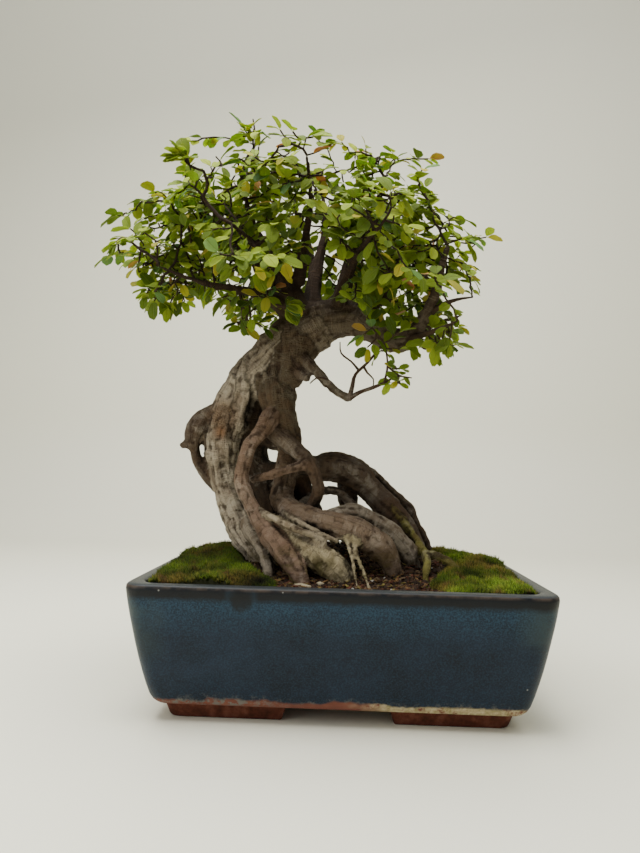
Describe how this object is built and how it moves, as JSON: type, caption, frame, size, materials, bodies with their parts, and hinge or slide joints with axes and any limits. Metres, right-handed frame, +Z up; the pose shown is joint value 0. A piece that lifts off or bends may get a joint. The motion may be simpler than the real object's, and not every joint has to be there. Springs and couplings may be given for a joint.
{
  "type": "zelkova bonsai",
  "caption": "Japanese zelkova bonsai: an umbrella crown of small toothed leaves over exposed arching roots, in a shallow rectangular glazed pot with mossy soil.",
  "frame": {"origin": "below the middle of the whole bounding box, on the plane that the pot's feet stand on", "axes": "+Z up, -Y towards the front that the picture shows, +X to the right seen from the front"},
  "size_m": [0.3136, 0.2164, 0.4167],
  "materials": {
    "glazed_clay": "mottled dark blue glaze, bare brown clay at the foot",
    "net": "plain black plastic net",
    "soil": "damp granular soil with litter",
    "moss": "short fluffy moss, green to olive",
    "bark": "grey-brown bark with fine rings and scars",
    "leaves": "satin green leaves, some yellow or red"
  },
  "bodies": {
    "root": {"pot": "glazed_clay", "drain_screen_left": "net", "drain_screen_right": "net", "soil": "soil", "moss_left": "moss", "moss_right": "moss", "tree_wood": "bark", "spray_01": "leaves", "spray_02": "leaves", "spray_03": "leaves", "spray_04": "leaves", "spray_05": "leaves", "spray_06": "leaves", "spray_07": "leaves", "spray_08": "leaves", "spray_09": "leaves", "spray_10": "leaves", "spray_11": "leaves", "spray_12": "leaves", "spray_13": "leaves", "spray_14": "leaves", "spray_15": "leaves", "spray_16": "leaves", "spray_17": "leaves", "spray_18": "leaves", "spray_19": "leaves", "spray_20": "leaves", "spray_21": "leaves", "spray_22": "leaves", "spray_23": "leaves"}
  },
  "joints": []
}
